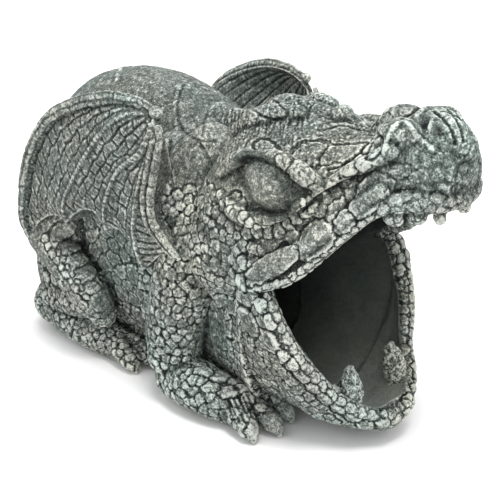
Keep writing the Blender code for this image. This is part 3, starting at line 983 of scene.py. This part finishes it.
def carved_tube(clay, side, stations, radius, lanes, scute, depth, sides=32, taper=0.6):
    """A round bar covered with long scutes, in lanes around it."""
    length = sum((Vector(b[:3]) - Vector(a[:3])).length for a, b in zip(stations, stations[1:]))
    route = even_route(stations, int(length / 0.9))
    centres = [Vector((side * x, y, z)) for x, y, z in route[:, :3]]
    heading = (centres[1] - centres[0]).normalized()
    turn = heading.to_track_quat("Z", "Y")
    rings = []
    turns = np.arange(sides) / sides
    for i, centre in enumerate(centres):
        ahead = (centres[min(i + 1, len(centres) - 1)] - centres[max(i - 1, 0)]).normalized()
        turn = heading.rotation_difference(ahead) @ turn
        heading = ahead
        end = min(i, len(centres) - 1 - i) / len(centres)
        thick = radius * (taper + (1 - taper) * min(1.0, end * 5))
        relief = brick_relief(turns * lanes, tau * radius / lanes, np.full(sides, i * 0.9), scute, depth)
        spokes = [
            Vector((cos(tau * k), sin(tau * k), 0)) * (thick + bump) for k, bump in zip(turns, relief)
        ]
        rings.append([centre + turn @ spoke for spoke in spokes])
    skin_rings(clay, rings)


def wing_forms(clay, side):
    wing_sheet(clay, side)
    carved_tube(clay, side, LEADING_EDGE, 6.4, 6, 20.0, 1.8)
    for shift in (-4.0, 4.0):
        carved_tube(clay, side, [(x + 2, y + shift, z) for x, y, z in FRONT_ROPE[1:]], 3.5, 1, 13.0, 1.0, sides=20)
    ball(clay, side, (90, 15, 258), (5, 6, 5))


# Lines that the photograph shows, through its pixels

UNDER_EYE_LINE = [(243, 217), (252, 225), (262, 230), (272, 231), (282, 228), (292, 221), (302, 212), (312, 204)]
LIP_EDGE_LINE = [(258, 289), (276, 285), (292, 281), (308, 267), (330, 252), (350, 235), (372, 218)]
JAW_RIM_LINE = [(268, 296), (282, 326), (300, 356), (322, 384), (344, 404), (372, 416), (402, 408), (418, 396)]
CHIN_LINE = [(292, 366), (310, 386), (330, 402), (350, 416), (374, 428), (400, 420)]
CHEEK_GROOVE = [(304, 210), (320, 196), (340, 184), (360, 175)]
NECK_PLATE_EDGES = [
    [(184, 84), (179, 97), (178, 112), (182, 126), (190, 134), (200, 139), (216, 140)],
    [(217, 104), (209, 112), (205, 122), (203, 134)],
    [(171, 140), (170, 160), (173, 184)],
    [(200, 140), (206, 152), (214, 166)],
]
HUMP_MARKS = [[(117, 79), (119, 71), (124, 65)]]
THIGH_SCUTES = [(62, 232), (67, 243), (73, 254), (79, 265), (85, 276), (90, 288)]
THIGH_CHAINS = [
    [(44, 238), (50, 250), (58, 263), (67, 276), (75, 288)],
    [(54, 244), (61, 256), (69, 269), (78, 283), (86, 296)],
]
EYE_SPOTS = [(270, 188, 40, 30), (230, 178, 14, 24)]
SMOOTH_SPOTS = [                 # where the hide is bare: x, y, half width and half height in the photograph
    (214, 334, 16, 26), (194, 108, 20, 30), (190, 156, 20, 24), (164, 160, 8, 34), (106, 300, 10, 22),
]
KNUCKLES_FIRST = [(226, 402), (248, 396)]
KNUCKLES_LAST = [(236, 424), (258, 416)]
HAIR_FANS = [
    ([(205, 143), (222, 141), (238, 142)], [(211, 164), (222, 168), (232, 158)], 11),
    ([(228, 112), (245, 113), (262, 118)], [(222, 134), (240, 138), (258, 138)], 11),
    ([(272, 120), (288, 122), (303, 126)], [(268, 140), (288, 142), (306, 140)], 12),
    ([(288, 92), (300, 92), (314, 96)], [(284, 118), (296, 122), (308, 118)], 10),
]
CROWN_LINES = [
    [(254, 107), (260, 99), (270, 97), (281, 103), (289, 113), (279, 118), (264, 115), (254, 107)],
    [(368, 158), (371, 148), (379, 135), (385, 138), (383, 150), (375, 158), (368, 158)],
    [(330, 168), (345, 164), (360, 153), (370, 142)],
    [(326, 128), (345, 124), (362, 128), (376, 124)],
]
NOSTRIL_RIDGE = [(386, 149), (391, 136), (396, 126), (404, 121), (411, 123), (417, 131), (424, 139), (434, 147)]
NOSE_ARCS = [
    [(437, 110), (447, 118), (455, 130), (458, 142)],
    [(446, 104), (456, 113), (464, 127), (467, 139)],
    [(421, 106), (414, 112), (404, 117)],
]
FACE_PLATES = [                  # pixel, pixel that its length points at, length and width
    (267, 147, 285, 150, 24, 13), (284, 160, 290, 168, 12, 12), (303, 172, 310, 180, 22, 19),
    (313, 152, 330, 150, 27, 22), (342, 153, 370, 146, 42, 19), (376, 146, 383, 134, 24, 12),
    (325, 172, 332, 170, 13, 12), (332, 184, 338, 180, 10, 9), (350, 168, 358, 165, 19, 11),
    (364, 163, 372, 160, 14, 10), (386, 166, 392, 160, 11, 9), (401, 171, 410, 168, 19, 11),
]
LIP_PLATES = [
    (272, 267, 298, 250, 60, 18), (317, 242, 330, 225, 38, 25), (346, 222, 352, 212, 20, 14),
    (337, 209, 345, 197, 24, 11), (372, 192, 390, 175, 44, 20), (401, 194, 412, 190, 24, 15),
    (426, 192, 434, 190, 14, 10), (440, 197, 448, 195, 12, 9),
]
NOSE_PLATES = [
    (401, 134, 404, 128, 11, 10), (401, 153, 404, 160, 12, 12), (415, 156, 418, 164, 17, 11),
    (440, 171, 446, 176, 15, 11), (428, 160, 432, 168, 12, 9), (447, 188, 452, 192, 10, 8),
    (470, 180, 473, 186, 9, 8), (456, 200, 462, 202, 10, 8),
]
JAW_PLATES = [
    (232, 303, 238, 311, 30, 21), (250, 322, 256, 330, 28, 22), (271, 342, 277, 350, 24, 18),
    (241, 284, 247, 292, 18, 13), (262, 306, 268, 314, 14, 12), (272, 322, 278, 330, 14, 12),
    (284, 358, 290, 366, 16, 12),
]


# Where each kind of hide lies

def between(values, low, high):
    return (values > low) & (values < high)


def body_hide(piece):
    """The scales of the neck, the flanks, the belly sides and the legs."""
    surface = surface_of(piece)
    scales = []
    for x, y, to_x, to_y, length, width in (
        (150, 78, 170, 74, 90, 60), (100, 72, 120, 66, 60, 50),
    ):
        place, _ = seen(surface, x, y)
        if place is not None:
            scales += plate(surface, x, y, to_x, to_y, length, width, 0.6, 4.0)
    scales += row_of_scales(surface, THIGH_CHAINS[0], 8, 9.5, 7.5, 0.9, 2.4, shingle=0.5)
    scales += row_of_scales(surface, THIGH_CHAINS[1], 8, 9, 7, 0.6, 2.4, shingle=0.5)
    scales += row_of_scales(surface, THIGH_SCUTES, 5, 15, 25, 0.9, 5.0, shingle=0.9)
    scales += plate(surface, 46, 277, 50, 277, 12, 12, 1.6, 3)
    scales += row_of_scales(surface, [(205, 372), (222, 376), (240, 372)], 3, 22, 14, 1.8, 4)
    scales += row_of_scales(surface, [(212, 388), (230, 392), (246, 388)], 3, 20, 12, 1.6, 4)

    def flank(p, n):
        return (np.abs(p[:, 0]) > 55) & between(p[:, 1], 28, 125) & between(p[:, 2], 8, 175)

    def foreleg_skin(p, n):
        return (np.abs(p[:, 0]) > 40) & between(p[:, 1], -80, 62) & between(p[:, 2], 3, 194)

    def foot_skin(p, n):
        return (np.abs(p[:, 0]) > 40) & between(p[:, 1], 70, 230) & between(p[:, 2], 3, 60)

    def haunch(p, n):
        return (np.abs(p[:, 0]) > 55) & between(p[:, 1], 100, 226) & between(p[:, 2], 50, 84)

    scales = pebbles(piece, scales, foreleg_skin, 6.8, 0.6)
    scales = pebbles(piece, scales, foot_skin, 6.4, 0.5)
    scales = pebbles(piece, scales, flank, 13.0, 0.4, bevel=1.8)
    scales = pebbles(piece, scales, haunch, 7.5, 0.4)
    places, normals = skin_arrays(piece)
    mask = np.clip((places[:, 2] - 1) / 3, 0, 1) * np.clip((232 - places[:, 1]) / 6, 0, 1)
    smooth_top = np.clip((places[:, 2] - 172) / 12, 0, 1) * np.clip((places[:, 1] - 60) / 20, 0, 1)
    bare = outside_spots(places, SMOOTH_SPOTS)
    carve(piece, scales, 0.85, mask * (1 - smooth_top) * (0.08 + 0.92 * bare))
    surface = surface_of(piece)
    engrave(piece, [line_on(surface, line) for line in NECK_PLATE_EDGES], 2.6, 0.7)
    engrave(piece, [line_on(surface, line) for line in HUMP_MARKS], 4.5, -1.2)
    engrave(piece, strokes(surface, KNUCKLES_FIRST, KNUCKLES_LAST, 6, 0.6), 2.4, 1.0)


def head_hide(piece):
    """The scales of the brow, the eye, the lips, the cheek, the jaw and the nose."""
    surface = surface_of(piece)
    scales = row_of_scales(surface, UNDER_EYE_LINE, 9, 13, 9.5, 1.6, 3, turned=True)
    for rows, height in ((FACE_PLATES, 1.3), (LIP_PLATES, 1.8), (NOSE_PLATES, 0.7), (JAW_PLATES, 2.2)):
        for row in rows:
            scales += plate(surface, *row, height, 3.2)
    scales += row_of_scales(surface, JAW_RIM_LINE, 19, 11, 8.5, 0.9, 2.4)
    scales += row_of_scales(surface, CHIN_LINE, 9, 15, 11, 1.2, 3.0)
    scales += row_of_scales(surface, LIP_EDGE_LINE, 15, 9, 5.5, 0.4, 1.8)

    def cheek(p, n):
        on_cheek = (np.abs(p[:, 0]) > 45) & (p[:, 1] > -140) & between(p[:, 2], 3, 205)
        return on_cheek & (outside_spots(p, EYE_SPOTS) > 0.5)

    def snout(p, n):
        return (p[:, 1] < -128) & (p[:, 2] > 205) & (n[:, 2] < 0.8)

    scales = pebbles(piece, scales, cheek, 7.2, 0.6)
    scales = pebbles(piece, scales, snout, 6.5, 0.3)
    places, _ = skin_arrays(piece)
    mask = np.clip((places[:, 2] - 1) / 3, 0, 1)
    nose = np.clip((places[:, 2] - 212) / 8, 0, 1) * np.clip((-150 - places[:, 1]) / 14, 0, 1)
    top = np.clip((places[:, 2] - 226) / 8, 0, 1) * np.clip((places[:, 1] + 135) / 10, 0, 1)
    bare = outside_spots(places, SMOOTH_SPOTS)
    carve(piece, scales, 0.85, mask * (1 - 0.6 * nose) * (0.08 + 0.92 * bare))
    roughen(piece, 0.45, 2.6, top)
    roughen(piece, 0.5, 8.0, 1 - bare)
    surface = surface_of(piece)
    engrave(piece, [line_on(surface, line) for line in CROWN_LINES + NOSE_ARCS], 2.2, 1.4)
    engrave(piece, [line_on(surface, CHEEK_GROOVE)], 2.6, 1.6)
    engrave(piece, [line_on(surface, NOSTRIL_RIDGE)], 3.6, -1.3)
    for first, last, count in HAIR_FANS:
        engrave(piece, strokes(surface, first, last, count + 3, 3.2), 1.7, 0.5)


# The finish, with its painted shade

SPECKLE = 1.25                   # how strongly the dry brush breaks up into grains
STREAKS = 1.0                    # into fine hairs
PATCHES = 0.8                    # and into patches


def stone():
    """Dark grey green stone, brushed with pale grey on every crest; black in the grooves partly as the unbrushed
    stone and partly as painted shade, with painted shade in the mouth and around the eyes.
    """
    made = bpy.data.materials.new("stone_with_dry_brush_and_painted_shade")
    made.use_nodes = True
    nodes = made.node_tree.nodes
    links = made.node_tree.links
    shader = nodes["Principled BSDF"]
    shader.inputs["Specular IOR Level"].default_value = 0.35
    place = nodes.new("ShaderNodeTexCoord")

    def grain(scale, detail, roughness=0.6, swirl=0.0):
        made_noise = nodes.new("ShaderNodeTexNoise")
        made_noise.inputs["Scale"].default_value = scale
        made_noise.inputs["Detail"].default_value = detail
        made_noise.inputs["Roughness"].default_value = roughness
        made_noise.inputs["Distortion"].default_value = swirl
        links.new(place.outputs["Object"], made_noise.inputs["Vector"])
        return made_noise.outputs["Fac"]

    def ramp(value, stops):
        made_ramp = nodes.new("ShaderNodeValToRGB")
        elements = made_ramp.color_ramp.elements
        while len(elements) < len(stops):
            elements.new(0.5)
        for element, (position, colour) in zip(elements, stops):
            element.position = position
            element.color = colour
        links.new(value, made_ramp.inputs["Fac"])
        return made_ramp.outputs["Color"]

    def reckon(operation, one, other, third=None):
        made_sum = nodes.new("ShaderNodeMath")
        made_sum.operation = operation
        for socket, value in zip(made_sum.inputs, (one, other, third)):
            if value is None:
                continue
            if isinstance(value, (int, float)):
                socket.default_value = value
            else:
                links.new(value, socket)
        return made_sum.outputs[0]

    def mixed(one, other, way):
        made_mix = nodes.new("ShaderNodeMix")
        made_mix.data_type = "RGBA"
        made_mix.blend_type = way
        made_mix.inputs["Factor"].default_value = 1.0
        links.new(one, made_mix.inputs[6])
        links.new(other, made_mix.inputs[7])
        return made_mix.outputs[2]

    crest = nodes.new("ShaderNodeAttribute")
    crest.attribute_name = "crest"
    crest = crest.outputs["Fac"]
    brushed = nodes.new("ShaderNodeAttribute")
    brushed.attribute_name = "brushed"
    speckle = grain(700, 4, 0.75)
    streaks = grain(230, 4, 0.7, 2.6)
    patch = grain(120, 3, 0.6, 1.6)
    cloud = grain(26, 4)
    broad = grain(9, 3)
    uneven = reckon("MULTIPLY", speckle, SPECKLE)
    uneven = reckon("MULTIPLY_ADD", streaks, STREAKS, uneven)
    uneven = reckon("MULTIPLY_ADD", patch, PATCHES, uneven)
    uneven = reckon("SUBTRACT", uneven, (SPECKLE + STREAKS + PATCHES) / 2)
    # the crest tone with the dry brush broken up; it carries the painted shade of the grooves, the mouth and the eyes
    worn = reckon("MULTIPLY_ADD", uneven, brushed.outputs["Fac"], crest)
    tone = ramp(worn, [
        (0.10, (0.004, 0.006, 0.005, 1)),
        (0.30, (0.032, 0.040, 0.036, 1)),
        (0.50, (0.084, 0.098, 0.090, 1)),
        (0.68, (0.190, 0.209, 0.194, 1)),
        (0.90, (0.560, 0.585, 0.555, 1)),
    ])
    tint = ramp(broad, [
        (0.35, (0.90, 1.0, 0.97, 1)),
        (0.50, (1.0, 1.0, 0.97, 1)),
        (0.66, (1.08, 1.03, 0.94, 1)),
    ])
    shade = ramp(cloud, [
        (0.30, (0.80, 0.80, 0.80, 1)),
        (0.70, (1.20, 1.20, 1.20, 1)),
    ])
    colour = mixed(tone, tint, "MULTIPLY")
    colour = mixed(colour, shade, "MULTIPLY")
    links.new(colour, shader.inputs["Base Color"])
    rough = ramp(worn, [(0.2, (0.92, 0.92, 0.92, 1)), (0.9, (0.62, 0.62, 0.62, 1))])
    links.new(rough, shader.inputs["Roughness"])
    bump = nodes.new("ShaderNodeBump")
    bump.inputs["Strength"].default_value = 0.8
    bump.inputs["Distance"].default_value = 0.0008
    links.new(speckle, bump.inputs["Height"])
    links.new(bump.outputs["Normal"], shader.inputs["Normal"])
    return made


# for each piece, the hollows whose walls get painted shade
HOLLOWS = {"body_and_legs": passage_hollows(), "head_and_jaws": [palate, bowl]}


TRIANGLES = 195000               # the most that one piece may have


def thin_out(piece):
    """Joins the points of the flattest stretches until the piece has no more triangles than it may."""
    piece.data.calc_loop_triangles()
    share = TRIANGLES / len(piece.data.loop_triangles)
    if share < 1:
        thinning = piece.modifiers.new("thin_out", "DECIMATE")
        thinning.ratio = share
        settle(piece)


def finish_piece(piece, grain, material):
    """Marks the crests, moves the piece onto the frame and lets it stand for the solid."""
    mark_crests(piece, grain, HOLLOWS.get(piece.name, []))
    thin_out(piece)
    back = Vector((0, BACK * MM, 0))
    shrunk = Matrix.Translation(back) @ Matrix.Scale(FIT, 4) @ Matrix.Translation(-back)
    piece.data.transform(Matrix.Translation((0, TO_FRAME, 0)) @ shrunk @ Matrix.Scale(MM, 4))
    piece.data.materials.clear()
    piece.data.materials.append(material)
    piece.data.shade_smooth()
    piece.data.set_sharp_from_angle(angle=radians(75))
    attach(piece, BODY)
    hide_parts(SOLID)


def make_body():
    piece = closed_piece("body_and_legs", body_forms)
    work_into_skin(piece, BODY_GRAIN)
    body_hide(piece)
    roughen(piece, 0.35, 5.0)
    cut_away(piece, [below_ground, behind_back, *passage_hollows()])
    return piece


def make_head():
    piece = closed_piece("head_and_jaws", head_forms)
    work_into_skin(piece, HEAD_GRAIN)
    head_hide(piece)
    roughen(piece, 0.25, 4.0)
    cut_away(piece, [palate, bowl, eye_sockets, below_ground])
    return piece


def make_wing(name, side):
    piece = closed_piece(name, lambda clay: wing_forms(clay, side))
    work_into_skin(piece, WING_GRAIN, 1)
    piece.data.transform(Matrix.Translation((-side * WING_INSET, 0, 0)))
    roughen(piece, 0.2, 4.0)
    return piece


def make_eyes():
    piece = closed_piece("eyes", lambda clay: [eye(clay, side) for side in BOTH_SIDES])
    roughen(piece, 0.3, 3.0)
    return piece


def make_teeth():
    piece = closed_piece("lower_teeth", lambda clay: [teeth(clay, side) for side in BOTH_SIDES])
    work_into_skin(piece, 1.0)
    roughen(piece, 1.0, 4.0)
    return piece


# The setting

def floor_and_light():
    floor = closed_piece("floor", lambda clay: box(clay, (-9000, -9000, -20), (9000, 9000, -0.05)))
    floor.data.transform(Matrix.Scale(MM, 4))
    pale = bpy.data.materials.new("pale_floor")
    pale.use_nodes = True
    pale.node_tree.nodes["Principled BSDF"].inputs["Base Color"].default_value = (0.94, 0.94, 0.94, 1)
    pale.node_tree.nodes["Principled BSDF"].inputs["Roughness"].default_value = 0.9
    floor.data.materials.append(pale)
    world = bpy.data.worlds.new("studio")
    bpy.context.scene.world = world
    world.use_nodes = True
    world.node_tree.nodes["Background"].inputs["Color"].default_value = (1, 1, 1, 1)
    world.node_tree.nodes["Background"].inputs["Strength"].default_value = 1.0
    middle = Vector((0, 0, 0.12))
    for name, place, power, size in (
        ("key", (-0.25, -0.45, 2.0), 31, 0.7), ("fill", (-1.5, 0.3, 0.8), 2, 1.2), ("rim", (1.0, 0.9, 1.2), 8, 1.0),
    ):
        light = bpy.data.lights.new(name, "AREA")
        light.energy = power
        light.size = size
        lamp = bpy.data.objects.new(name, light)
        lamp.location = place
        lamp.rotation_euler = (middle - Vector(place)).to_track_quat("-Z", "Y").to_euler()
        bpy.context.scene.collection.objects.link(lamp)


def camera():
    seeing = bpy.data.cameras.new("photograph")
    seeing.sensor_width = SENSOR
    seeing.lens = SENSOR * FOCAL_PIXELS / PICTURE
    seeing.clip_start = 0.01
    holder = bpy.data.objects.new("photograph", seeing)
    turn = Matrix((CAMERA_RIGHT, CAMERA_UP, CAMERA_BACK)).transposed().to_4x4()
    holder.matrix_world = Matrix.Translation(CAMERA_PLACE * MM + Vector((0, TO_FRAME, 0))) @ turn
    bpy.context.scene.collection.objects.link(holder)
    bpy.context.scene.camera = holder


bpy.context.scene.view_settings.view_transform = "Standard"
floor_and_light()
camera()
stone_finish_and_painted_shade = stone()
for made_piece, piece_grain in (
    (make_body(), BODY_GRAIN),
    (make_head(), HEAD_GRAIN),
    (make_wing("left_wing", 1), WING_GRAIN),
    (make_wing("right_wing", -1), WING_GRAIN),
    (make_eyes(), HEAD_GRAIN),
    (make_teeth(), HEAD_GRAIN),
):
    finish_piece(made_piece, piece_grain, stone_finish_and_painted_shade)
